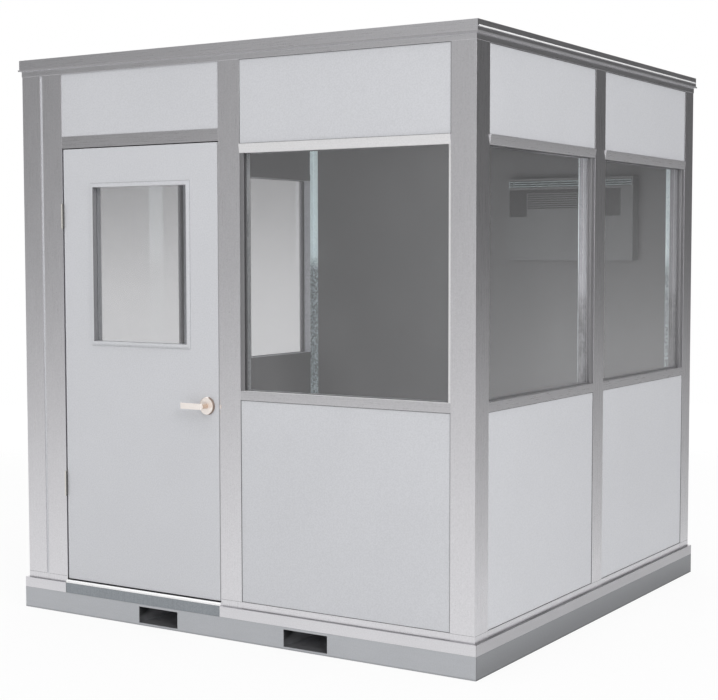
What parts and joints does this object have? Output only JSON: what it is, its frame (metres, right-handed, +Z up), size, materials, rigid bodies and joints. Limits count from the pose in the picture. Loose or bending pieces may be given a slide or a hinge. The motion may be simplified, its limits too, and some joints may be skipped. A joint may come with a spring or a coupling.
{
  "type": "modular office",
  "caption": "Square in-plant modular office of aluminium posts and vinyl panels on a steel fork-pocket base, with windows, a glazed swing door and a wall air conditioner.",
  "frame": {"origin": "on the ground under the middle of the walls", "axes": "+Z up, -Y out of the front wall with the door, +X to the right seen from the front"},
  "size_m": [2.468, 2.822, 2.624],
  "materials": {
    "base_paint": "satin grey paint",
    "step_steel": "grey blue galvanised steel",
    "floor_finish": "matte sheet flooring",
    "trim_aluminium": "mill finish",
    "frame_aluminium": "brushed",
    "panel_vinyl": "fine textured vinyl",
    "roof_sheet": "satin white grey paint",
    "gasket_rubber": "matte",
    "window_glass": "clear",
    "ac_casing": "satin grey",
    "door_paint": "satin paint",
    "hinge_steel": "satin",
    "lock_nickel": "satin nickel"
  },
  "bodies": {
    "office": {"base_front_rail": "base_paint", "base_rear_rail": "base_paint", "base_side_rails": "base_paint", "fork_tubes": "base_paint", "base_joists": "base_paint", "door_step": "step_steel", "floor_deck": "floor_finish", "edge_trim": "trim_aluminium", "threshold": "trim_aluminium", "front_left_post": "frame_aluminium", "front_right_post": "frame_aluminium", "rear_left_post": "frame_aluminium", "rear_right_post": "frame_aluminium", "front_mullion": "frame_aluminium", "hinge_jamb": "frame_aluminium", "right_mullion": "frame_aluminium", "left_mullion": "frame_aluminium", "rear_mullion": "frame_aluminium", "bottom_rails": "frame_aluminium", "sill_rails": "frame_aluminium", "head_rails": "frame_aluminium", "door_head": "frame_aluminium", "door_stop": "frame_aluminium", "top_track": "frame_aluminium", "front_window_frame": "frame_aluminium", "right_window_frames": "frame_aluminium", "left_window_frames": "frame_aluminium", "roof_fascia": "frame_aluminium", "corner_filler": "panel_vinyl", "front_lower_panel": "panel_vinyl", "front_upper_panel": "panel_vinyl", "transom_panel": "panel_vinyl", "right_panels": "panel_vinyl", "left_panels": "panel_vinyl", "rear_left_panel": "panel_vinyl", "rear_right_panel": "panel_vinyl", "roof_panel": "roof_sheet", "window_gaskets": "gasket_rubber", "front_glass": "window_glass", "right_glass": "window_glass", "left_glass": "window_glass", "ac_cabinet": "ac_casing", "ac_cover": "ac_casing", "frame_hinges": "hinge_steel", "strike_plate": "lock_nickel"},
    "door": {"door_leaf": "door_paint", "door_lite_frame": "door_paint", "door_glass": "window_glass", "door_hinges": "hinge_steel", "door_roses": "lock_nickel"},
    "lever": {"lever_handles": "lock_nickel"}
  },
  "joints": [
    {"name": "door_swing", "type": "hinge", "parent": "office", "child": "door", "pos_m": [-0.9675, -1.2252, 1], "axis": [0, 0, -1], "range_deg": [0, 170]},
    {"name": "lever_turn", "type": "hinge", "parent": "door", "child": "lever", "pos_m": [-0.122, -1.2, 1.035], "axis": [0, -1, 0], "range_deg": [0, 45], "stiffness_Nm_per_rad": 2, "springref_deg": -34.38}
  ]
}
